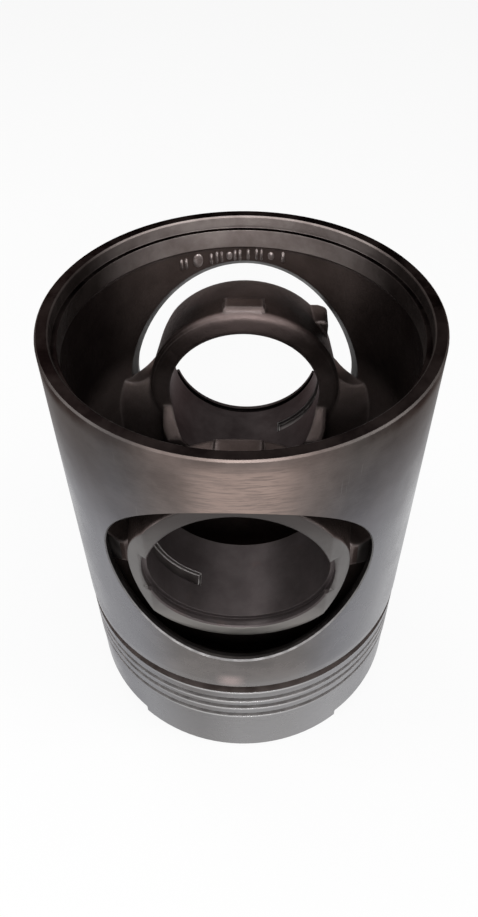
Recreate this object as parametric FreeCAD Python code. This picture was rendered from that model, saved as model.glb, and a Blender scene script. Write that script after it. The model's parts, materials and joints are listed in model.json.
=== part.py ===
import FreeCAD, Part
import math
import os

from FreeCAD import Vector

# One-piece cast iron trunk piston of a four-stroke diesel, in millimetres.
# It stands on its crown face, as in the photograph, with the skirt open to +Z.
# The origin is the centre of the crown face and the piston pin lies along Y.

# Cylinder that the piston runs in, and the clearances of the turned diameters
CYLINDER_BORE = 220.0
SKIRT_CLEARANCE = 0.24
LAND_CLEARANCE = 0.8
TOP_LAND_CLEARANCE = 1.5

# Whole piston
HEIGHT = 292.0
PIN_HEIGHT = 187.0
EDGE_CHAMFER = 1.0

# Ring belt, from the crown face upwards
TOP_LAND_HEIGHT = 38.0
FIRST_GROOVE_HEIGHT = 44.7
RING_WIDTH = 4.5
OIL_RING_WIDTH = 7.9
RING_SIDE_CLEARANCE = 0.1
RING_GROOVE_DEPTH = 7.5
OIL_GROOVE_DEPTH = 7.0
SECOND_LAND = 6.5
THIRD_LAND = 5.0
FOURTH_LAND = 7.5
SKIRT_LEAD_IN = 6.0
DRAIN_DIAMETER = 4.0
DRAIN_COUNT = 8

# Crown
CROWN_THICKNESS = 34.0
CROWN_INNER_RADIUS = 20.0
CROWN_CORNER_STEPS = 4
BOWL_DIAMETER = 84.0
BOWL_SIDE = 18.0
BOWL_DEPTH = 7.0
VALVE_DIAMETER = 80.0
VALVE_PITCH_RADIUS = 84.0
VALVE_RECESS_DEPTH = 6.9
VALVE_ANGLE = 33.0

# Walls and the register turned inside the open end
BELT_WALL = 21.9
BELT_WALL_HEIGHT = 92.0
SKIRT_WALL = 7.9
BAND_WALL = 10.4
BAND_WIDTH = 11.7
REGISTER_WALL = 7.3
REGISTER_DEPTH = 8.0
RIM_CHAMFER = 0.8

# Piston pin and its bosses
PIN_DIAMETER = 101.5
PIN_CLEARANCE = 0.1
BOSS_WALL = 9.8
BOSS_DRAFT = 5.0
BOSS_LIFT = 1.0
BOSS_SPAN = 194.6
BOSS_FACE_WIDTH = 98.0
BOSS_END_RADIUS = 92.0
BOSS_INNER_ROUND = 4.0
BOSS_RIM_STEPS = 3
LUG_RELIEF = 0.9
ROD_GAP = 106.0
LOWER_ROD_GAP = 73.0
STEP_DROP = 11.0
BORE_CHAMFER = 0.8

# Circlip groove, its access slots and the oil groove in each bore
CLIP_WIDTH = 4.0
CLIP_DEPTH = 2.5
CLIP_SETBACK = 3.4
SLOT_WIDTH = 30.0
OIL_POCKET_WIDTH = 9.0
OIL_POCKET_DEPTH = 3.0
OIL_POCKET_SETBACK = 29.3
OIL_POCKET_START = 28.0
OIL_POCKET_ARC = 90.0

# Windows in the skirt round the bosses
WINDOW_SIDE_GAP = 13.9
WINDOW_END_GAP = 7.9
WINDOW_CHAMFER = 1.0
WINDOW_FLARE = 5.0

# Pillars that carry the bosses on the crown
PILLAR_WIDTH = 112.0
PILLAR_SETBACK = 21.3
PILLAR_CORNER = 8.0
STEP_WALL = 9.2

# Webs between the bosses and the skirt
WEB_SETBACK = 1.0
WEB_THICKNESS = 12.0
SHELF_HEIGHT = 3.0
SHELF_THICKNESS = 12.0
SHELF_SETBACK = 16.3
VALLEY_RADIUS = 17.0
BROW_HEIGHT = 40.0
BROW_DEPTH = 23.0

# Cast pads on the bosses and the lug beside one of them
PAD_WIDTH = 26.0
PAD_LENGTH = 13.0
PAD_HEIGHT = 6.9
PAD_SETBACK = 4.0
PAD_CORNER = 1.5
LUG_INNER_X = 43.0
LUG_OUTER_X = 55.5
LUG_LENGTH = 19.3
LUG_BOTTOM = 20.0
LUG_TOP = 42.5
LUG_CORNER = 3.0

# Sizes that follow from the driving dimensions
SKIRT_RADIUS = (CYLINDER_BORE - SKIRT_CLEARANCE) / 2
LAND_RADIUS = (CYLINDER_BORE - LAND_CLEARANCE) / 2
TOP_LAND_RADIUS = (CYLINDER_BORE - TOP_LAND_CLEARANCE) / 2
INNER_RADIUS = SKIRT_RADIUS - SKIRT_WALL
BELT_INNER_RADIUS = SKIRT_RADIUS - BELT_WALL
BORE_RADIUS = (PIN_DIAMETER + PIN_CLEARANCE) / 2
BOSS_RADIUS = BORE_RADIUS + BOSS_WALL
BOSS_FACE = BOSS_SPAN / 2
BOSS_INNER_FACE = ROD_GAP / 2
STEP_INNER_FACE = LOWER_ROD_GAP / 2
GROOVE_WIDTH = RING_WIDTH + RING_SIDE_CLEARANCE
OIL_GROOVE_WIDTH = OIL_RING_WIDTH + RING_SIDE_CLEARANCE
SECOND_GROOVE_HEIGHT = FIRST_GROOVE_HEIGHT + GROOVE_WIDTH + SECOND_LAND
THIRD_GROOVE_HEIGHT = SECOND_GROOVE_HEIGHT + GROOVE_WIDTH + THIRD_LAND
OIL_GROOVE_HEIGHT = THIRD_GROOVE_HEIGHT + GROOVE_WIDTH + FOURTH_LAND
OIL_GROOVE_TOP = OIL_GROOVE_HEIGHT + OIL_GROOVE_WIDTH
WEB_INNER_FACE = BOSS_INNER_FACE + WEB_SETBACK
WEB_OUTER_FACE = WEB_INNER_FACE + WEB_THICKNESS
SHELF_EDGE = BOSS_FACE - SHELF_SETBACK
CLIP_OUTER_FACE = BOSS_FACE - CLIP_SETBACK
PILLAR_OUTER_FACE = BOSS_FACE - PILLAR_SETBACK

# Extra length of a cutting tool past the face it cuts, and the depth to which
# one cast form runs into the next
CUT_ROOM = 10.0
ROOT = 1.0

ORIGIN = Vector(0, 0, 0)
UP = Vector(0, 0, 1)
PIN_AXIS = Vector(0, 1, 0)


# Solid turned about the piston axis from pairs of radius and height
def turned(outline):
    points = [Vector(radius, 0, height) for radius, height in outline]
    points.append(points[0])
    return Part.Face(Part.makePolygon(points)).revolve(ORIGIN, UP, 360)


# Round bar along the pin axis, from one place on it to another
def pin_bar(radius, start, end, height=PIN_HEIGHT):
    return Part.makeCylinder(radius, end - start, Vector(0, start, height), PIN_AXIS)


# Block that is centred on X and stands between two faces along Y
def block(width, near, far, bottom, top):
    corner = Vector(-width / 2, near, bottom)
    return Part.makeBox(width, far - near, top - bottom, corner)


# The same form turned half way round the piston, for the other boss
def opposite(shape):
    other = shape.copy()
    other.rotate(ORIGIN, UP, 180)
    return other


# Boss radius at a distance from the piston axis, with the casting draft
def boss_radius_at(distance):
    return BOSS_RADIUS + (BOSS_FACE - distance) * math.tan(math.radians(BOSS_DRAFT))


# Turned outside with the stepped top land and the chamfers at both ends
def outer_body():
    return turned([
        (0, 0),
        (TOP_LAND_RADIUS - EDGE_CHAMFER, 0),
        (TOP_LAND_RADIUS, EDGE_CHAMFER),
        (TOP_LAND_RADIUS, TOP_LAND_HEIGHT),
        (LAND_RADIUS, TOP_LAND_HEIGHT),
        (LAND_RADIUS, OIL_GROOVE_TOP),
        (SKIRT_RADIUS, OIL_GROOVE_TOP + SKIRT_LEAD_IN),
        (SKIRT_RADIUS, HEIGHT - EDGE_CHAMFER),
        (SKIRT_RADIUS - EDGE_CHAMFER, HEIGHT),
        (0, HEIGHT),
    ])


# Cast hollow under the crown and the register turned in the open end
def inner_hollow():
    band_radius = SKIRT_RADIUS - BAND_WALL
    register_radius = SKIRT_RADIUS - REGISTER_WALL
    register_floor = HEIGHT - REGISTER_DEPTH
    band_bottom = register_floor - BAND_WIDTH
    belt_slope = INNER_RADIUS - BELT_INNER_RADIUS
    outline = [(0, CROWN_THICKNESS)]
    outline += quarter_round(BELT_INNER_RADIUS, CROWN_THICKNESS,
                             CROWN_INNER_RADIUS, CROWN_CORNER_STEPS)
    outline += [
        (BELT_INNER_RADIUS, BELT_WALL_HEIGHT),
        (INNER_RADIUS, BELT_WALL_HEIGHT + belt_slope),
        (INNER_RADIUS, band_bottom - (INNER_RADIUS - band_radius)),
        (band_radius, band_bottom),
        (band_radius, register_floor),
        (register_radius, register_floor),
        (register_radius, HEIGHT - RIM_CHAMFER),
        (register_radius + RIM_CHAMFER + CUT_ROOM, HEIGHT + CUT_ROOM),
        (0, HEIGHT + CUT_ROOM),
    ]
    return turned(outline)


# Lower outer corner of a turned outline, in short cones along a quarter round
def quarter_round(outer_radius, bottom, radius, steps):
    points = []
    for step in range(steps + 1):
        angle = math.pi / 2 * step / steps
        across = outer_radius - radius * (1 - math.sin(angle))
        along = bottom + radius * (1 - math.cos(angle))
        points.append((across, along))
    return points


# Square ring groove in the outside
def ring_groove(bottom, width, depth):
    top = bottom + width
    return turned([
        (LAND_RADIUS - depth, bottom),
        (LAND_RADIUS + CUT_ROOM, bottom),
        (LAND_RADIUS + CUT_ROOM, top),
        (LAND_RADIUS - depth, top),
    ])


# Three compression ring grooves and the wider oil ring groove
def ring_grooves():
    return [
        ring_groove(FIRST_GROOVE_HEIGHT, GROOVE_WIDTH, RING_GROOVE_DEPTH),
        ring_groove(SECOND_GROOVE_HEIGHT, GROOVE_WIDTH, RING_GROOVE_DEPTH),
        ring_groove(THIRD_GROOVE_HEIGHT, GROOVE_WIDTH, RING_GROOVE_DEPTH),
        ring_groove(OIL_GROOVE_HEIGHT, OIL_GROOVE_WIDTH, OIL_GROOVE_DEPTH),
    ]


# Oil drain holes from the floor of the oil ring groove into the hollow
def drain_holes():
    holes = []
    height = OIL_GROOVE_HEIGHT + OIL_GROOVE_WIDTH / 2
    start = BELT_INNER_RADIUS - CUT_ROOM / 2
    for index in range(DRAIN_COUNT):
        angle = 2 * math.pi * (index + 0.5) / DRAIN_COUNT
        outwards = Vector(math.cos(angle), math.sin(angle), 0)
        place = outwards * start + UP * height
        length = SKIRT_RADIUS - start
        holes.append(Part.makeCylinder(DRAIN_DIAMETER / 2, length, place, outwards))
    return holes


# Shallow dish in the middle of the crown face
def combustion_bowl():
    half_width = BOWL_DIAMETER / 2
    return turned([
        (0, -CUT_ROOM),
        (half_width, -CUT_ROOM),
        (half_width, 0),
        (half_width - BOWL_SIDE, BOWL_DEPTH),
        (0, BOWL_DEPTH),
    ])


# Pockets in the crown face for the four valve heads
def valve_recesses():
    recesses = []
    for angle in (VALVE_ANGLE, 180 - VALVE_ANGLE, 180 + VALVE_ANGLE, -VALVE_ANGLE):
        outwards = Vector(math.cos(math.radians(angle)), math.sin(math.radians(angle)), 0)
        centre = outwards * VALVE_PITCH_RADIUS - UP * CUT_ROOM
        depth = VALVE_RECESS_DEPTH + CUT_ROOM
        recesses.append(Part.makeCylinder(VALVE_DIAMETER / 2, depth, centre))
    return recesses


# Oval bar through the skirt wall on one side, in line with the pin
def window_cutter():
    half_width = BOSS_RADIUS + WINDOW_SIDE_GAP
    half_height = BOSS_RADIUS + WINDOW_END_GAP
    centre = Vector(0, -SKIRT_RADIUS - CUT_ROOM, PIN_HEIGHT)
    oval = Part.Ellipse(centre + Vector(half_width, 0, 0),
                        centre + Vector(0, 0, half_height), centre)
    face = Part.Face(Part.Wire(oval.toShape()))
    return face.extrude(PIN_AXIS * (SKIRT_RADIUS + CUT_ROOM))


# Shell with both windows, flared on the inside and chamfered on the outside
def windowed_shell():
    near_window = window_cutter()
    shell = outer_body().cut(inner_hollow())
    shell = shell.cut([near_window, opposite(near_window)])
    inner_rims = [edge for edge in shell.Edges if window_rim(edge, INNER_RADIUS)]
    shell = shell.makeChamfer(WINDOW_FLARE, WINDOW_FLARE, inner_rims)
    outer_rims = [edge for edge in shell.Edges if window_rim(edge, SKIRT_RADIUS)]
    return shell.makeChamfer(WINDOW_CHAMFER, WINDOW_CHAMFER, outer_rims)


# True for an edge of a window that lies on a turned radius
def window_rim(edge, radius):
    box = edge.BoundBox
    if box.ZLength < WINDOW_END_GAP:
        return False
    if box.XLength < WINDOW_SIDE_GAP:
        return False
    ends = (edge.FirstParameter, edge.LastParameter)
    middle = edge.valueAt(sum(ends) / 2)
    start = edge.valueAt(ends[0])
    on_middle = abs(math.hypot(middle.x, middle.y) - radius) < 0.01
    return on_middle and abs(math.hypot(start.x, start.y) - radius) < 0.01


# Near boss: a drafted cone with a rounded inner rim and a flat machined face,
# whose end is rounded back on both sides to stay inside the skirt
def boss():
    widest = boss_radius_at(BOSS_INNER_FACE + BOSS_INNER_ROUND)
    outline = [(0, BOSS_INNER_FACE)]
    outline += quarter_round(widest, BOSS_INNER_FACE, BOSS_INNER_ROUND, BOSS_RIM_STEPS)
    outline += [(BOSS_RADIUS, BOSS_FACE), (0, BOSS_FACE)]
    cone = turned(outline)
    cone.rotate(ORIGIN, Vector(1, 0, 0), 90)
    cone.translate(UP * (PIN_HEIGHT + BOSS_LIFT))
    face_to_centre = math.sqrt(BOSS_END_RADIUS ** 2 - (BOSS_FACE_WIDTH / 2) ** 2)
    end_centre = Vector(0, face_to_centre - BOSS_FACE, 0)
    return cone.common(Part.makeCylinder(BOSS_END_RADIUS, HEIGHT, end_centre))


# Near pillar, stepped in under the boss where the rod end is narrower
def pillar():
    step_depth = BOSS_INNER_FACE - STEP_INNER_FACE
    floor = CROWN_THICKNESS - ROOT
    slope_top = PIN_HEIGHT - STEP_DROP
    outline = [
        Vector(0, -STEP_INNER_FACE, floor),
        Vector(0, -STEP_INNER_FACE, slope_top - step_depth),
        Vector(0, -BOSS_INNER_FACE, slope_top),
        Vector(0, -PILLAR_OUTER_FACE, slope_top),
        Vector(0, -PILLAR_OUTER_FACE, floor),
    ]
    outline.append(outline[0])
    side = Part.Face(Part.makePolygon(outline))
    side.translate(Vector(-PILLAR_WIDTH / 2, 0, 0))
    trunk = side.extrude(Vector(PILLAR_WIDTH, 0, 0))
    corners = [edge for edge in trunk.Edges if pillar_corner(edge)]
    trunk = trunk.makeFillet(PILLAR_CORNER, corners)
    collar = pin_bar(BORE_RADIUS + STEP_WALL, -PILLAR_OUTER_FACE, -STEP_INNER_FACE)
    return trunk.fuse(collar.common(side.extrude(Vector(PILLAR_WIDTH, 0, 0))))


# True for an upright edge of a pillar
def pillar_corner(edge):
    box = edge.BoundBox
    return box.XLength < 0.001 and box.YLength < 0.001


# Webs on both sides of the near boss, with a brow towards the rod, a shelf
# towards the window and a round valley between boss and skirt
def webs():
    brow_top = PIN_HEIGHT + SHELF_HEIGHT + VALLEY_RADIUS
    brow_start = brow_top - BROW_HEIGHT
    shelf_bottom = PIN_HEIGHT + SHELF_HEIGHT - SHELF_THICKNESS
    floor = CROWN_THICKNESS - ROOT
    brow_radius = (BROW_DEPTH ** 2 + BROW_HEIGHT ** 2) / (2 * BROW_DEPTH)
    half_turn = math.asin(BROW_HEIGHT / brow_radius) / 2
    brow_middle = Vector(0, -WEB_INNER_FACE - brow_radius * (1 - math.cos(half_turn)),
                         brow_start + brow_radius * math.sin(half_turn))
    foot = Vector(0, -WEB_INNER_FACE, floor)
    brow_foot = Vector(0, -WEB_INNER_FACE, brow_start)
    brow_end = Vector(0, -WEB_INNER_FACE - BROW_DEPTH, brow_top)
    line = [
        brow_end,
        Vector(0, -SHELF_EDGE, brow_top),
        Vector(0, -SHELF_EDGE, shelf_bottom),
        Vector(0, -WEB_OUTER_FACE, shelf_bottom - (SHELF_EDGE - WEB_OUTER_FACE)),
        Vector(0, -WEB_OUTER_FACE, floor),
        foot,
        brow_foot,
    ]
    brow = Part.Arc(brow_foot, brow_middle, brow_end).toShape()
    outline = Part.Wire(Part.makePolygon(line).Edges + [brow])
    side = Part.Face(outline)
    side.translate(Vector(-SKIRT_RADIUS, 0, 0))
    web = side.extrude(Vector(2 * SKIRT_RADIUS, 0, 0))
    boss_radius = boss_radius_at(SHELF_EDGE)
    valley_reach = boss_radius + VALLEY_RADIUS - ROOT
    valley_rise = VALLEY_RADIUS + SHELF_HEIGHT - BOSS_LIFT
    valley_x = math.sqrt(valley_reach ** 2 - valley_rise ** 2)
    valley_side = brow_top - valley_rise * VALLEY_RADIUS / valley_reach
    for across in (-valley_x, valley_x):
        start = Vector(across, -SKIRT_RADIUS, brow_top)
        web = web.cut(Part.makeCylinder(VALLEY_RADIUS, SKIRT_RADIUS, start, PIN_AXIS))
    return web.cut(block(2 * valley_x, -SKIRT_RADIUS, 0, valley_side, HEIGHT))


# Flat cast pad on the side of a boss that faces the open end
def pad():
    top = PIN_HEIGHT + BORE_RADIUS + BOSS_WALL + PAD_HEIGHT
    near = -BOSS_INNER_FACE - PAD_SETBACK - PAD_LENGTH
    shape = block(PAD_WIDTH, near, near + PAD_LENGTH, PIN_HEIGHT + BORE_RADIUS, top)
    rim = [edge for edge in shape.Edges if abs(edge.BoundBox.ZMin - top) < 0.001]
    return shape.makeChamfer(PAD_CORNER, rim)


# Lug beside the far boss
def lug():
    corner = Vector(LUG_INNER_X, BOSS_FACE - LUG_LENGTH, PIN_HEIGHT + LUG_BOTTOM)
    width = LUG_OUTER_X - LUG_INNER_X
    shape = Part.makeBox(width, LUG_LENGTH, LUG_TOP - LUG_BOTTOM, corner)
    edges = [edge for edge in shape.Edges if lug_corner(edge)]
    return shape.makeFillet(LUG_CORNER, edges)


# True for the outer top edge of the lug
def lug_corner(edge):
    box = edge.BoundBox
    outer = abs(box.XMin - LUG_OUTER_X) < 0.001
    return outer and abs(box.ZMin - PIN_HEIGHT - LUG_TOP) < 0.001


# Everything cast inside the shell, held inside the skirt wall
def inner_casting():
    wall_root = Part.makeCylinder(INNER_RADIUS + ROOT, HEIGHT)
    face_limit = Part.makeCylinder(SKIRT_RADIUS - LUG_RELIEF, HEIGHT)
    near = boss().fuse([pillar(), webs().common(wall_root), pad()])
    return near.fuse([opposite(near), lug().common(face_limit)])


# Tools for one bore: chamfer, circlip groove, access slot and oil groove
def bore_details():
    chamfer_radius = BORE_RADIUS + BORE_CHAMFER
    mouth = Vector(0, -BOSS_FACE, PIN_HEIGHT)
    chamfer = Part.makeCone(chamfer_radius, BORE_RADIUS, BORE_CHAMFER, mouth, PIN_AXIS)
    clip_groove = pin_bar(BORE_RADIUS + CLIP_DEPTH, -CLIP_OUTER_FACE,
                          CLIP_WIDTH - CLIP_OUTER_FACE)
    slot = block(2 * SKIRT_RADIUS, -SKIRT_RADIUS, -CLIP_OUTER_FACE,
                 PIN_HEIGHT - SLOT_WIDTH / 2, PIN_HEIGHT + SLOT_WIDTH / 2)
    slot = slot.common(pin_bar(boss_radius_at(BOSS_INNER_FACE), -SKIRT_RADIUS, 0))
    return [chamfer, clip_groove, slot, oil_pocket()]


# Part-round oil groove that starts beside the bottom of the near bore
def oil_pocket():
    radius = BORE_RADIUS + OIL_POCKET_DEPTH
    pocket = Part.makeCylinder(radius, OIL_POCKET_WIDTH, ORIGIN, UP, OIL_POCKET_ARC)
    pocket.rotate(ORIGIN, UP, 90 + OIL_POCKET_START)
    pocket.rotate(ORIGIN, Vector(1, 0, 0), -90)
    start = -BOSS_FACE + OIL_POCKET_SETBACK - OIL_POCKET_WIDTH / 2
    pocket.translate(Vector(0, start, PIN_HEIGHT))
    return pocket


# The whole piston, one casting with its machined cuts
def piston():
    casting = windowed_shell().fuse(inner_casting())
    details = bore_details()
    cuts = [pin_bar(BORE_RADIUS, -SKIRT_RADIUS, SKIRT_RADIUS)]
    cuts += details
    cuts += [opposite(detail) for detail in details]
    cuts += ring_grooves()
    cuts += drain_holes()
    cuts += valve_recesses()
    cuts.append(combustion_bowl())
    return casting.cut(cuts).removeSplitter()


os.makedirs("parts", exist_ok=True)
shape = piston()
shape.exportStep("parts/piston.step")
print("solids", len(shape.Solids), "volume", round(shape.Volume), "valid", shape.isValid())
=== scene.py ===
import json
import math

import bmesh
import bpy
from mathutils import Matrix, Vector


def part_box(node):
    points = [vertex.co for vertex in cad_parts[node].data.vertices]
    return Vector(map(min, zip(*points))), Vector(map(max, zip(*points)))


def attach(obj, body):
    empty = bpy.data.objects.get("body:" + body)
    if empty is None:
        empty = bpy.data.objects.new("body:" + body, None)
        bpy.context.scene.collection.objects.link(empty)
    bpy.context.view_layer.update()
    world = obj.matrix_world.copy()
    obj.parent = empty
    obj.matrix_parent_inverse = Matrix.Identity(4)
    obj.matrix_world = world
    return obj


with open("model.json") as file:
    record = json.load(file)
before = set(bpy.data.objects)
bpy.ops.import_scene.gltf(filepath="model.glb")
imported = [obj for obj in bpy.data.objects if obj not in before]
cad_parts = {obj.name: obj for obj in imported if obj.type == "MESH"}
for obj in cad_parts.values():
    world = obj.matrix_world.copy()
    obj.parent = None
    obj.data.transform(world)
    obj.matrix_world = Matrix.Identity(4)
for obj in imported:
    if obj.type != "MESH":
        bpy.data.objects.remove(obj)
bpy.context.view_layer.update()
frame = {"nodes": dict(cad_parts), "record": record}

# Places on the casting, in metres, as the frame has them
LOW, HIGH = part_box("piston")
SKIRT_RADIUS = (HIGH.y - LOW.y) / 2
HEIGHT = HIGH.z
PIN_BORE = next(m for m in frame["record"]["mounts"] if m["name"] == "pin_bore")
PIN_HEIGHT = PIN_BORE["pos_m"][2]
BORE_RADIUS = PIN_BORE["dims"]["r_mm"] / 1000
LAND_DEPTH = 0.0016
GROOVE_DEPTH = 0.0086
BELT_BOTTOM = 0.04
BELT_TOP = 0.087
OIL_GROOVE_BOTTOM = 0.076
LAND_EDGES = (0.0447, 0.0557, 0.0652, 0.0772)
CROWN_DEPTH = 0.01
BAND_DEPTH = 0.0205
BAND_RADIUS = 0.099
WALL_RADIUS = 0.10198
WINDOW_INNER_RADIUS = 0.1015
WINDOW_BOTTOM = 0.1
WINDOW_TOP = 0.27
WINDOW_CHAMFER = 0.0012
BORE_DEPTH = 0.0034
BOSS_FACE = 0.0973
SLOT_FLOOR = 0.0939
SLOT_START = 0.04
POCKET_END = 0.085
BOSS_RADIUS = 0.066
BOSS_END_CENTRE = 0.01943
BOSS_END_RADIUS = 0.092
NEAR = 0.0003

# Raised marks cast on the wall above the far window: turn from +Y in degrees, height and shape
MARK_RELIEF = 0.0013
MARKS = (
    (-22.9, 0.2625, "pair"),
    (-17.5, 0.2632, "stud"),
    (-12.6, 0.2632, "bar"),
    (-9.6, 0.2640, "pair"),
    (-5.9, 0.2645, "pip"),
    (-2.9, 0.2648, "pair"),
    (1.0, 0.2652, "bar"),
    (5.0, 0.2655, "pair"),
    (9.4, 0.2650, "pip"),
    (13.9, 0.2650, "bar"),
)

# How wide and how tall each shape of mark is, and how far a pair's bars stand from its middle
MARK_SIZES = {
    "stud": (0.0068, 0.0100),
    "pip": (0.0042, 0.0060),
    "bar": (0.0019, 0.0080),
    "pair": (0.0017, 0.0080),
}
PAIR_OFFSET = 0.0016
MARK_ROUNDING = 0.00055

# Slanted direction that sorts the marks' vertices and faces, so that each run gives the same mesh
MARK_ORDER = Vector((1.0, 3.7, 11.3))

# Lighter streaky patch under the near rim on the front: its middle, and the heights between which
# it starts and ends
LIGHTER_PATCH = (0.003, (0.238, 0.256), (0.291, 0.280))

# Small lighter spot on the front above the ring belt: its middle and its height
LIGHTER_SPOT = (-0.005, 0.093)

# Levels between which a noise texture mostly lies
NOISE_LOW = 0.3
NOISE_HIGH = 0.7

# Rays that round an edge off, and how far the normal turns from no edge mask to a full one beside
# it; the mask brightens edges as wear and as painted glints
EDGE_SAMPLES = 4
EDGE_TURN = (0.995, 0.85)

# Lamps: name, place, aim, size and power
MIDDLE = (0.0, 0.0, 0.2)
LAMPS = (
    ("front", (0.05, -1.1, 1.05), (0.0, 0.1, 0.25), (0.6, 0.4), 9.0),
    ("left", (-1.2, -0.1, 0.8), MIDDLE, (0.6, 0.8), 4.0),
    ("right", (1.2, -0.3, 0.8), MIDDLE, (0.6, 0.8), 6.0),
    ("back", (-0.8, 0.9, 1.4), MIDDLE, (0.8, 0.6), 4.0),
)

# Strength of the white world as light and as seen, glow and size of the floor
WORLD_LIGHT = 0.5
WORLD_SEEN = 1.0
FLOOR_GLOW = 0.85
FLOOR_RADIUS = 8.0

# Camera of the photograph
CAMERA_PLACE = Vector((0.0103, -0.3445, 0.5392))
CAMERA_AIM = Vector((-0.0021, -0.0001, 0.1793))
CAMERA_ROLL = -0.012
CAMERA_LENS = 30.53


# Node tree helpers
class Nodes:
    def __init__(self, material):
        material.use_nodes = True
        self.tree = material.node_tree
        self.shader = self.tree.nodes["Principled BSDF"]
        self.place = self.add("ShaderNodeTexCoord").outputs["Object"]
        split = self.add("ShaderNodeSeparateXYZ")
        self.join(self.place, split.inputs["Vector"])
        self.across, self.deep, self.height = split.outputs

    def add(self, kind, **settings):
        node = self.tree.nodes.new(kind)
        for name, value in settings.items():
            setattr(node, name, value)
        return node

    def join(self, source, target):
        self.tree.links.new(source, target)

    def feed(self, target, value):
        if isinstance(value, bpy.types.NodeSocket):
            self.join(value, target)
        elif isinstance(value, tuple):
            target.default_value = (*value, 1.0)
        else:
            target.default_value = value

    def give(self, **values):
        for name, value in values.items():
            self.feed(self.shader.inputs[name.replace("_", " ").title()], value)

    def stretched(self, scale):
        node = self.add("ShaderNodeMapping")
        node.inputs["Scale"].default_value = scale
        self.join(self.place, node.inputs["Vector"])
        return node.outputs["Vector"]

    def noise(self, scale, detail, rough, place=None):
        node = self.add("ShaderNodeTexNoise")
        node.inputs["Scale"].default_value = scale
        node.inputs["Detail"].default_value = detail
        node.inputs["Roughness"].default_value = rough
        self.join(place or self.place, node.inputs["Vector"])
        return node.outputs["Fac"]

    # Smooth step from bottom, where the value is low, to top, where it is high
    def levels(self, value, low, high, bottom=0.0, top=1.0):
        node = self.add("ShaderNodeMapRange", interpolation_type="SMOOTHSTEP")
        for socket, number in zip(node.inputs, (value, low, high, bottom, top)):
            self.feed(socket, number)
        return node.outputs["Result"]

    # Cloudy noise from nought to one
    def clouds(self, scale, detail, rough):
        return self.grainy(self.noise(scale, detail, rough), 0.0, 1.0)

    # Noise turned into values from bottom to top
    def grainy(self, noise, bottom, top):
        return self.levels(noise, NOISE_LOW, NOISE_HIGH, bottom, top)

    # Share from nought to one turned into values from bottom to top
    def between(self, share, bottom, top):
        return self.levels(share, 0.0, 1.0, bottom, top)

    # One up to a near distance from a place, nought beyond a far one
    def around(self, value, place, near, far):
        away = self.maths("ABSOLUTE", self.maths("SUBTRACT", value, place))
        return self.levels(away, far, near)

    def mix(self, factor, first, second, blend="MIX"):
        node = self.add("ShaderNodeMix", data_type="RGBA", blend_type=blend)
        self.feed(node.inputs["Factor"], factor)
        self.feed(node.inputs[6], first)
        self.feed(node.inputs[7], second)
        return node.outputs[2]

    def maths(self, operation, first, second=0.0):
        node = self.add("ShaderNodeMath", operation=operation)
        self.feed(node.inputs[0], first)
        self.feed(node.inputs[1], second)
        return node.outputs["Value"]

    def product(self, first, *others):
        for other in others:
            first = self.maths("MULTIPLY", first, other)
        return first

    def bump(self, height, distance, strength, normal=None):
        node = self.add("ShaderNodeBump")
        node.inputs["Strength"].default_value = strength
        node.inputs["Distance"].default_value = distance
        self.join(height, node.inputs["Height"])
        if normal is not None:
            self.join(normal, node.inputs["Normal"])
        return node.outputs["Normal"]

    # Normal of the surface with its sharp edges rounded off
    def rounded(self, radius):
        node = self.add("ShaderNodeBevel", samples=EDGE_SAMPLES)
        self.feed(node.inputs["Radius"], radius)
        return node.outputs["Normal"]

    # One beside a sharp edge or corner and nought away from it
    def beside_edges(self, radius):
        node = self.add("ShaderNodeVectorMath", operation="DOT_PRODUCT")
        self.join(self.rounded(radius), node.inputs[0])
        self.join(self.add("ShaderNodeNewGeometry").outputs["True Normal"], node.inputs[1])
        return self.levels(node.outputs["Value"], *EDGE_TURN)


def material(name):
    made = bpy.data.materials.new(name)
    return made, Nodes(made)


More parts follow.
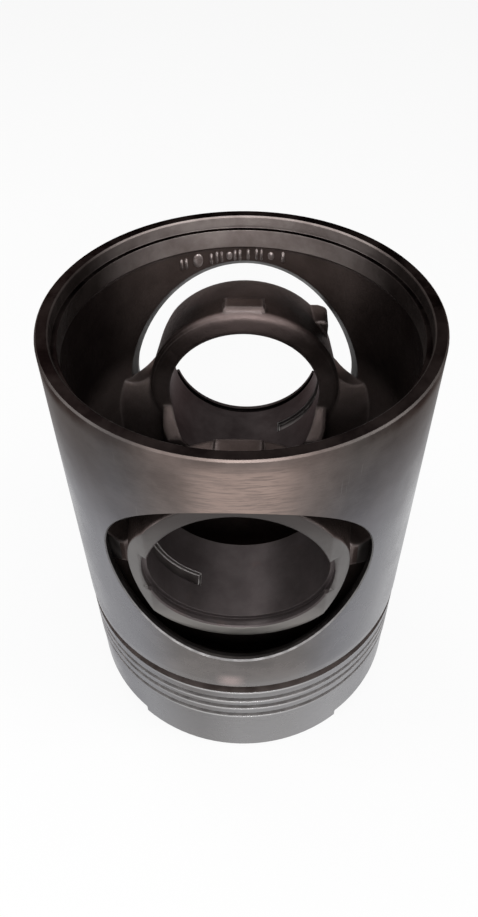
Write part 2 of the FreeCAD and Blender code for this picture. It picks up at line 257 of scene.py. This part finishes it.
# Turned outside of skirt and lands: satin grey iron, browner in the middle and dark near the rim
def turned_outside():
    made, nodes = material("turned_outside")
    cloudy = nodes.clouds(34.0, 6.0, 0.65)
    cool = nodes.mix(cloudy, (0.104, 0.103, 0.117), (0.146, 0.144, 0.160))
    warm = nodes.mix(cloudy, (0.100, 0.089, 0.085), (0.150, 0.134, 0.128))
    side = nodes.maths("ABSOLUTE", nodes.across)
    colour = nodes.mix(nodes.levels(side, 0.030, 0.066), warm, cool)
    # Lighter towards the bottom, except at the far left: a painted reflection of the bright floor
    low = nodes.levels(nodes.across, -0.095, -0.045, 0.0, 0.5)
    low = nodes.product(low, nodes.levels(nodes.height, 0.110, 0.020))
    colour = nodes.mix(low, colour, (0.195, 0.194, 0.203))
    # Lighter ring belt right of the middle: a painted highlight
    lands = nodes.levels(nodes.across, -0.030, 0.004, 0.0, 0.6)
    lands = nodes.product(lands, nodes.levels(nodes.height, 0.105, 0.065))
    colour = nodes.mix(lands, colour, (0.285, 0.280, 0.285))
    # Painted highlights along the land edges, strongest in the middle and faint at the sides
    bright = nodes.levels(side, 0.070, 0.015, 0.05, 0.70)
    for place in LAND_EDGES:
        edge = nodes.product(nodes.levels(nodes.height, place - 0.0022, place - 0.0009), bright)
        edge = nodes.product(edge, nodes.levels(nodes.height, place + 0.0008, place + 0.0004))
        colour = nodes.mix(edge, colour, (0.560, 0.550, 0.550))
    brown = nodes.mix(cloudy, (0.056, 0.049, 0.047), (0.088, 0.078, 0.074))
    clear = nodes.mix(cloudy, (0.130, 0.103, 0.094), (0.200, 0.160, 0.147))
    brown = nodes.mix(nodes.levels(side, 0.058, 0.026), brown, clear)
    ragged = nodes.grainy(nodes.noise(11.0, 4.0, 0.6), -0.010, 0.010)
    patina = nodes.levels(nodes.maths("ADD", nodes.height, ragged), 0.188, 0.300)
    colour = nodes.mix(patina, colour, brown)
    streaks = nodes.noise(1.0, 5.0, 0.65, nodes.stretched((70.0, 70.0, 900.0)))
    front = nodes.levels(nodes.deep, -0.080, -0.100)
    place, bottom, top = LIGHTER_PATCH
    lighter_share = nodes.product(front, nodes.around(nodes.across, place, 0.010, 0.034))
    lighter_share = nodes.product(lighter_share, nodes.levels(nodes.height, *bottom))
    lighter_share = nodes.product(lighter_share, nodes.levels(nodes.height, *top))
    lighter_share = nodes.product(lighter_share, nodes.levels(streaks, 0.34, 0.58, 0.35, 1.0))
    colour = nodes.mix(lighter_share, colour, (0.350, 0.265, 0.232))
    spot = nodes.product(front, nodes.around(nodes.across, LIGHTER_SPOT[0], 0.001, 0.011))
    spot = nodes.product(spot, nodes.around(nodes.height, LIGHTER_SPOT[1], 0.001, 0.010))
    colour = nodes.mix(spot, colour, (0.330, 0.265, 0.255))
    marks = nodes.noise(1.0, 3.0, 0.6, nodes.stretched((160.0, 160.0, 3500.0)))
    shade = nodes.mix(nodes.levels(marks, 0.35, 0.65), (0.38, 0.38, 0.38), (0.62, 0.62, 0.62))
    colour = nodes.mix(0.25, colour, shade, "OVERLAY")
    scores = nodes.noise(1.0, 2.0, 0.5, nodes.stretched((700.0, 700.0, 32.0)))
    colour = nodes.mix(nodes.levels(scores, 0.71, 0.80, 0.0, 0.15), colour, (0.280, 0.272, 0.272))
    rough = nodes.maths("ADD", nodes.between(cloudy, 0.22, 0.30), nodes.product(patina, 0.18))
    nodes.give(base_color=colour, roughness=rough, metallic=1.0)
    # Reflection dimmed at the far left and low on both sides as painted shade, and dimmed further
    # in the patina and at the rim
    left = nodes.levels(nodes.across, -0.060, -0.090)
    glare = nodes.mix(left, (1.0, 1.0, 1.0), (0.84, 0.84, 0.85))
    sides = nodes.levels(side, 0.060, 0.088)
    sides = nodes.product(sides, nodes.levels(nodes.height, 0.110, 0.060))
    glare = nodes.mix(sides, glare, (0.78, 0.78, 0.79))
    glare = nodes.mix(patina, glare, (0.60, 0.57, 0.56))
    glare = nodes.mix(nodes.levels(nodes.height, 0.280, 0.289), glare, (0.30, 0.27, 0.26))
    nodes.give(specular_tint=glare)
    edge_radius = nodes.levels(nodes.height, 0.0885, 0.0900, 0.0013, 0.0005)
    nodes.give(normal=nodes.bump(marks, 0.00003, 1.0, nodes.rounded(edge_radius)))
    return made


# Thin broken edges of the windows
def window_edges():
    made, nodes = material("window_edges")
    lighter_share = nodes.clouds(160.0, 4.0, 0.6)
    colour = nodes.mix(lighter_share, (0.130, 0.125, 0.125), (0.190, 0.183, 0.183))
    nodes.give(base_color=colour, metallic=1.0)
    nodes.give(roughness=nodes.between(lighter_share, 0.50, 0.38))
    return made


# Sides of the ring grooves: lighter than the lands
def groove_sides():
    made, nodes = material("groove_sides")
    grain = nodes.clouds(140.0, 5.0, 0.6)
    colour = nodes.mix(grain, (0.200, 0.188, 0.186), (0.300, 0.285, 0.282))
    nodes.give(base_color=colour, metallic=0.35)
    nodes.give(roughness=nodes.between(grain, 0.32, 0.45), normal=nodes.rounded(0.0006))
    return made


# Floors of the ring grooves and the whole oil groove: brown with old oil
def groove_floors():
    made, nodes = material("groove_floors")
    grain = nodes.clouds(120.0, 5.0, 0.6)
    colour = nodes.mix(grain, (0.060, 0.046, 0.042), (0.100, 0.080, 0.074))
    nodes.give(base_color=colour, metallic=0.3)
    nodes.give(roughness=nodes.between(grain, 0.45, 0.60))
    return made


# Rim face and the step inside it: dark and oily
def rim_face():
    made, nodes = material("rim_face")
    cloudy = nodes.clouds(45.0, 6.0, 0.65)
    grain = nodes.noise(420.0, 4.0, 0.6)
    colour = nodes.mix(cloudy, (0.008, 0.006, 0.006), (0.022, 0.017, 0.016))
    nodes.give(base_color=colour, metallic=1.0)
    nodes.give(roughness=nodes.between(cloudy, 0.36, 0.50), specular_tint=(0.12, 0.10, 0.09))
    nodes.give(normal=nodes.bump(grain, 0.00004, 1.0, nodes.rounded(0.0007)))
    return made


# Register and band turned inside the skirt: dull brown-grey with fine lines round it, painted
# light on the far side and painted shade on the near side
def turned_band():
    made, nodes = material("turned_band")
    cloudy = nodes.clouds(45.0, 6.0, 0.65)
    # Lit copy for the far side and shaded copy for the near side: painted light and shade
    lit_far_band = nodes.mix(cloudy, (0.290, 0.240, 0.226), (0.440, 0.380, 0.360))
    shaded_near_band = nodes.mix(cloudy, (0.016, 0.012, 0.011), (0.034, 0.027, 0.025))
    marks = nodes.noise(1.0, 3.0, 0.6, nodes.stretched((150.0, 150.0, 3000.0)))
    colour = nodes.mix(nodes.levels(nodes.deep, 0.045, 0.099), shaded_near_band, lit_far_band)
    nodes.give(base_color=colour, metallic=0.7)
    nodes.give(roughness=nodes.grainy(marks, 0.36, 0.50), specular_tint=(0.36, 0.31, 0.29))
    nodes.give(normal=nodes.bump(marks, 0.00005, 1.0, nodes.rounded(0.0007)))
    return made


# As-cast inside: dark brown sand-cast skin under old oil, with painted shade on the sides of the
# hollow, painted light on the wall above the far window and on the far webs, and a painted
# highlight on the inner end of the far boss
def cast_skin():
    made, nodes = material("cast_skin")
    cloudy = nodes.clouds(22.0, 6.0, 0.6)
    colour = nodes.mix(cloudy, (0.030, 0.022, 0.020), (0.066, 0.050, 0.046))
    side = nodes.maths("ABSOLUTE", nodes.across)
    # Painted shade: darker towards the sides of the hollow
    colour = nodes.mix(nodes.levels(side, 0.064, 0.092, 0.0, 0.7), colour, (0.006, 0.004, 0.004))
    # Painted highlight on the upper inner end of the far boss
    end = nodes.levels(nodes.deep, 0.049, 0.052)
    end = nodes.product(end, nodes.levels(nodes.deep, 0.060, 0.056))
    end = nodes.product(end, nodes.levels(nodes.height, PIN_HEIGHT + 0.040, PIN_HEIGHT + 0.064))
    end = nodes.product(end, nodes.levels(side, 0.074, 0.066))
    colour = nodes.mix(end, colour, (0.160, 0.122, 0.116))
    # Painted light: lighter far webs, low down
    webs = nodes.levels(nodes.deep, 0.0, 0.040)
    webs = nodes.product(webs, nodes.levels(nodes.height, 0.215, 0.190))
    lighter = nodes.mix(cloudy, (0.090, 0.070, 0.065), (0.150, 0.120, 0.112))
    colour = nodes.mix(webs, colour, lighter)
    # Painted light: lighter wall above the far window
    lit_far_wall = nodes.levels(nodes.deep, 0.055, 0.098)
    lit_far_wall = nodes.product(lit_far_wall, nodes.levels(nodes.height, 0.205, 0.262))
    lit_wall_colour = nodes.mix(cloudy, (0.076, 0.057, 0.051), (0.125, 0.096, 0.088))
    colour = nodes.mix(lit_far_wall, colour, lit_wall_colour)
    # Lighter beside edges and in fillets: partly edge wear, partly painted glints
    edge_wear_and_glints = nodes.product(nodes.beside_edges(0.0030), nodes.between(cloudy, 0.45, 0.95))
    colour = nodes.mix(edge_wear_and_glints, colour, (0.260, 0.220, 0.212))
    sand = nodes.noise(900.0, 5.0, 0.65)
    waves = nodes.noise(70.0, 3.0, 0.5)
    dull = nodes.levels(side, 0.045, 0.070, 0.0, 0.15)
    rough = nodes.maths("ADD", nodes.grainy(sand, 0.32, 0.48), dull)
    nodes.give(base_color=colour, roughness=rough)
    # Less metallic on the painted-light wall above the far window
    nodes.give(metallic=nodes.between(lit_far_wall, 0.85, 0.6))
    nodes.give(specular_tint=(0.26, 0.21, 0.20))
    coarse = nodes.bump(waves, 0.0012, 0.5, nodes.rounded(0.0042))
    nodes.give(normal=nodes.bump(sand, 0.00025, 0.6, coarse))
    return made


# Raised marks on the cast wall, brighter than the skin round them: partly rubbed, partly a
# painted highlight
def rubbed_highlit_marks():
    made, nodes = material("rubbed_highlit_marks")
    lighter_share = nodes.clouds(300.0, 4.0, 0.6)
    colour = nodes.mix(lighter_share, (0.220, 0.175, 0.165), (0.480, 0.420, 0.405))
    nodes.give(base_color=colour, metallic=0.7)
    nodes.give(roughness=nodes.between(lighter_share, 0.42, 0.30), normal=nodes.bump(lighter_share, 0.0002, 0.6))
    return made


# Walls of the windows through the skirt
def window_walls():
    made, nodes = material("window_walls")
    cloudy = nodes.clouds(60.0, 6.0, 0.6)
    colour = nodes.mix(cloudy, (0.020, 0.017, 0.016), (0.055, 0.048, 0.046))
    nodes.give(base_color=colour, metallic=0.6)
    nodes.give(roughness=nodes.between(cloudy, 0.40, 0.52), normal=nodes.rounded(0.0006))
    return made


# Bored surfaces of the pin bosses, with rust spots in the near one; the far one is painted darker
# as shade
def bored_iron():
    made, nodes = material("bored_iron")
    cloudy = nodes.clouds(40.0, 6.0, 0.65)
    near = nodes.mix(cloudy, (0.056, 0.046, 0.046), (0.084, 0.071, 0.071))
    rusty = nodes.levels(nodes.noise(26.0, 5.0, 0.6), 0.58, 0.72, 0.0, 0.5)
    near = nodes.mix(rusty, near, (0.110, 0.068, 0.058))
    # Painted shade: far bore darker and more metallic than the near one
    far = nodes.mix(cloudy, (0.019, 0.015, 0.015), (0.034, 0.028, 0.028))
    marks = nodes.noise(1.0, 3.0, 0.6, nodes.stretched((150.0, 3500.0, 150.0)))
    far_share = nodes.levels(nodes.deep, -0.03, 0.05)
    nodes.give(base_color=nodes.mix(far_share, near, far))
    nodes.give(metallic=nodes.between(far_share, 0.55, 1.0))
    nodes.give(roughness=nodes.grainy(marks, 0.34, 0.46), specular_tint=(0.60, 0.55, 0.55))
    nodes.give(normal=nodes.bump(marks, 0.00003, 1.0, nodes.rounded(0.0007)))
    return made


# Milled oil pockets in the bores, with painted highlights along their edges
def oil_pockets():
    made, nodes = material("oil_pockets")
    cloudy = nodes.clouds(60.0, 5.0, 0.6)
    colour = nodes.mix(cloudy, (0.075, 0.064, 0.062), (0.120, 0.106, 0.103))
    # Painted highlight along the pocket edges
    colour = nodes.mix(nodes.beside_edges(0.0016), colour, (0.620, 0.590, 0.580))
    nodes.give(base_color=colour, metallic=0.7)
    nodes.give(roughness=nodes.between(cloudy, 0.28, 0.40), normal=nodes.rounded(0.0010))
    return made


# Turned faces of the bosses and the slots cut in them
def boss_faces():
    made, nodes = material("boss_faces")
    cloudy = nodes.clouds(50.0, 6.0, 0.65)
    colour = nodes.mix(cloudy, (0.092, 0.085, 0.083), (0.150, 0.141, 0.137))
    # Painted light: lighter towards the bottom
    bottom = nodes.levels(nodes.height, PIN_HEIGHT - 0.02, PIN_HEIGHT - 0.06)
    colour = nodes.mix(bottom, colour, (0.260, 0.245, 0.230))
    # Painted shadow of the wall above the window: darker towards the top
    top = nodes.levels(nodes.height, PIN_HEIGHT + 0.02, PIN_HEIGHT + 0.05)
    colour = nodes.mix(top, colour, (0.060, 0.052, 0.050))
    nodes.give(base_color=colour, roughness=nodes.between(cloudy, 0.34, 0.46), metallic=0.85)
    nodes.give(normal=nodes.rounded(0.0030))
    return made


# One triangle of the casting: where its corners lie and which way it looks
class Facet:
    def __init__(self, mesh, polygon):
        corners = [mesh.vertices[index].co for index in polygon.vertices]
        centre = polygon.center
        radius = max(math.hypot(centre.x, centre.y), 1e-6)
        self.normal = polygon.normal
        self.outwards = (centre.x * self.normal.x + centre.y * self.normal.y) / radius
        self.radii = [math.hypot(c.x, c.y) for c in corners]
        self.heights = [c.z for c in corners]
        self.offsets = [abs(c.y) for c in corners]
        self.sides = [abs(c.x) for c in corners]
        self.from_pin = [math.hypot(c.x, c.z - PIN_HEIGHT) for c in corners]
        self.boss_end = [math.hypot(c.x, abs(c.y) - BOSS_END_CENTRE) for c in corners]


def all_at(values, place):
    return all(abs(value - place) < NEAR for value in values)


def on_boss_end(facet):
    if max(facet.from_pin) > BOSS_RADIUS:
        return False
    if all_at(facet.offsets, BOSS_FACE) or all_at(facet.boss_end, BOSS_END_RADIUS):
        return True
    within = all(SLOT_FLOOR - NEAR < offset < BOSS_FACE + NEAR for offset in facet.offsets)
    if not within or max(facet.from_pin) < BORE_RADIUS + BORE_DEPTH:
        return False
    slot_side = abs(facet.normal.z) > 0.9 and min(facet.sides) > SLOT_START
    return slot_side or all_at(facet.offsets, SLOT_FLOOR)


def on_window_edge(facet):
    level = WINDOW_BOTTOM < min(facet.heights) and max(facet.heights) < WINDOW_TOP
    outer = min(facet.radii) > SKIRT_RADIUS - WINDOW_CHAMFER
    return level and outer and not all_at(facet.radii, SKIRT_RADIUS)


# Which of the casting's surfaces a facet belongs to
def surface_of(facet):
    if on_boss_end(facet):
        return "face"
    if on_window_edge(facet):
        return "edge"
    if max(facet.heights) < CROWN_DEPTH:
        return "outside"
    if min(facet.radii) > SKIRT_RADIUS - LAND_DEPTH and facet.outwards > 0.5:
        return "outside"
    in_belt = BELT_BOTTOM < min(facet.heights) and max(facet.heights) < BELT_TOP
    if in_belt and min(facet.radii) > SKIRT_RADIUS - GROOVE_DEPTH:
        side = abs(facet.normal.z) > 0.7 and max(facet.heights) < OIL_GROOVE_BOTTOM
        return "groove_side" if side else "groove_floor"
    if min(facet.radii) > BAND_RADIUS and min(facet.heights) > HEIGHT - BAND_DEPTH:
        return "rim" if facet.normal.z > 0.8 else "band"
    if max(facet.from_pin) < BORE_RADIUS + BORE_DEPTH and max(facet.offsets) < BOSS_FACE + NEAR:
        in_pocket = max(facet.from_pin) > BORE_RADIUS + NEAR and max(facet.offsets) < POCKET_END
        return "pocket" if in_pocket else "bore"
    through = min(facet.radii) > WINDOW_INNER_RADIUS and not all_at(facet.radii, WALL_RADIUS)
    if through and WINDOW_BOTTOM < min(facet.heights) and min(facet.from_pin) > BOSS_RADIUS:
        return "window"
    return "cast"


# The casting keeps its shape and gets one material for each kind of surface
def dress_casting():
    casting = frame["nodes"]["piston"]
    makers = {
        "outside": turned_outside,
        "edge": window_edges,
        "groove_side": groove_sides,
        "groove_floor": groove_floors,
        "rim": rim_face,
        "band": turned_band,
        "cast": cast_skin,
        "window": window_walls,
        "bore": bored_iron,
        "pocket": oil_pockets,
        "face": boss_faces,
    }
    casting.data.materials.clear()
    order = {}
    for name, maker in makers.items():
        order[name] = len(casting.data.materials)
        casting.data.materials.append(maker())
    for polygon in casting.data.polygons:
        polygon.material_index = order[surface_of(Facet(casting.data, polygon))]


# Small rounded block or dome of a raised mark, set on the wall at its turn and height
def add_mark(shape, across, tall, sideways, turn, height, domed):
    if domed:
        made = bmesh.ops.create_icosphere(shape, subdivisions=3, radius=1.0)["verts"]
        size = (across / 2, MARK_RELIEF, tall / 2)
    else:
        made = bmesh.ops.create_cube(shape, size=1.0)["verts"]
        size = (across, MARK_RELIEF * 2, tall)
    for vertex in made:
        vertex.co = Vector((vertex.co.x * size[0], vertex.co.y * size[1], vertex.co.z * size[2]))
    if not domed:
        edges = list(dict.fromkeys(edge for vertex in made for edge in vertex.link_edges))
        rounding = {"offset": MARK_ROUNDING, "segments": 3, "affect": "EDGES"}
        made = bmesh.ops.bevel(shape, geom=edges, **rounding)["verts"]
    outwards = Matrix.Translation((sideways, WALL_RADIUS, height))
    place = Matrix.Rotation(-math.radians(turn), 4, "Z") @ outwards
    bmesh.ops.transform(shape, matrix=place, verts=list(dict.fromkeys(made)))


# Worn marks raised on the inner wall above the far window, plain bars and studs
def make_marks():
    mesh = bpy.data.meshes.new("cast_marks")
    shape = bmesh.new()
    for turn, height, kind in MARKS:
        across, tall = MARK_SIZES[kind]
        for sideways in (-PAIR_OFFSET, PAIR_OFFSET) if kind == "pair" else (0.0,):
            add_mark(shape, across, tall, sideways, turn, height, kind in ("stud", "pip"))
    shape.verts.sort(key=lambda vertex: vertex.co.dot(MARK_ORDER))
    shape.faces.sort(key=lambda face: face.calc_center_median().dot(MARK_ORDER))
    shape.to_mesh(mesh)
    shape.free()
    marks = bpy.data.objects.new("cast_marks", mesh)
    bpy.context.scene.collection.objects.link(marks)
    mesh.materials.append(rubbed_highlit_marks())
    for polygon in mesh.polygons:
        polygon.use_smooth = True
    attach(marks, "root")


# One for camera, glossy and transmission rays, nought for the rest
def seen_directly(nodes):
    path = nodes.add("ShaderNodeLightPath")
    seen = nodes.maths("MAXIMUM", path.outputs["Is Camera Ray"], path.outputs["Is Glossy Ray"])
    return nodes.maths("MAXIMUM", seen, path.outputs["Is Transmission Ray"])


# Pale floor that keeps the object's shadow and shows white to the camera
def make_floor():
    mesh = bpy.data.meshes.new("floor")
    shape = bmesh.new()
    bmesh.ops.create_circle(shape, cap_ends=True, radius=FLOOR_RADIUS, segments=64)
    shape.to_mesh(mesh)
    shape.free()
    floor = bpy.data.objects.new("floor", mesh)
    bpy.context.scene.collection.objects.link(floor)
    made, nodes = material("floor")
    shader = nodes.shader
    nodes.give(base_color=(0.9, 0.9, 0.9), roughness=0.9)
    shader.inputs["Specular IOR Level"].default_value = 0.0
    glow = nodes.add("ShaderNodeEmission")
    glow.inputs["Color"].default_value = (1.0, 1.0, 1.0, 1.0)
    mix = nodes.add("ShaderNodeMixShader")
    nodes.join(nodes.maths("MULTIPLY", seen_directly(nodes), FLOOR_GLOW), mix.inputs[0])
    nodes.join(shader.outputs[0], mix.inputs[1])
    nodes.join(glow.outputs[0], mix.inputs[2])
    nodes.join(mix.outputs[0], nodes.tree.nodes["Material Output"].inputs["Surface"])
    mesh.materials.append(made)


# White surroundings, softer for lighting than they look
def make_world():
    world = bpy.data.worlds.new("studio")
    bpy.context.scene.world = world
    world.use_nodes = True
    tree = world.node_tree
    background = tree.nodes["Background"]
    background.inputs["Color"].default_value = (1.0, 1.0, 1.0, 1.0)
    path = tree.nodes.new("ShaderNodeLightPath")
    either = tree.nodes.new("ShaderNodeMath")
    either.operation = "MAXIMUM"
    tree.links.new(path.outputs["Is Camera Ray"], either.inputs[0])
    tree.links.new(path.outputs["Is Glossy Ray"], either.inputs[1])
    strength = tree.nodes.new("ShaderNodeMapRange")
    strength.inputs["To Min"].default_value = WORLD_LIGHT
    strength.inputs["To Max"].default_value = WORLD_SEEN
    tree.links.new(either.outputs[0], strength.inputs["Value"])
    tree.links.new(strength.outputs["Result"], background.inputs["Strength"])


def soft_box(name, place, aim, size, power):
    data = bpy.data.lights.new(name, "AREA")
    data.shape = "RECTANGLE"
    data.size, data.size_y = size
    data.energy = power
    lamp = bpy.data.objects.new(name, data)
    lamp.location = place
    lamp.rotation_mode = "QUATERNION"
    lamp.rotation_quaternion = (Vector(aim) - Vector(place)).to_track_quat("-Z", "Y")
    bpy.context.scene.collection.objects.link(lamp)


def make_lights():
    for lamp in LAMPS:
        soft_box(*lamp)


# Camera that looks from the photograph's place
def make_camera():
    data = bpy.data.cameras.new("camera")
    data.sensor_width = 36.0
    data.lens = CAMERA_LENS
    data.clip_start = 0.01
    data.clip_end = 50.0
    camera = bpy.data.objects.new("camera", data)
    forward = (CAMERA_AIM - CAMERA_PLACE).normalized()
    right = forward.cross(Vector((0, 0, 1))).normalized()
    up = right.cross(forward)
    cosine, sine = math.cos(CAMERA_ROLL), math.sin(CAMERA_ROLL)
    turned_right = right * cosine + up * sine
    turned_up = up * cosine - right * sine
    rotation = Matrix((turned_right, turned_up, -forward)).transposed()
    camera.matrix_world = Matrix.Translation(CAMERA_PLACE) @ rotation.to_4x4()
    bpy.context.scene.collection.objects.link(camera)
    bpy.context.scene.camera = camera


make_camera()
make_world()
make_lights()
make_floor()
dress_casting()
make_marks()
bpy.context.scene.view_settings.view_transform = "Standard"
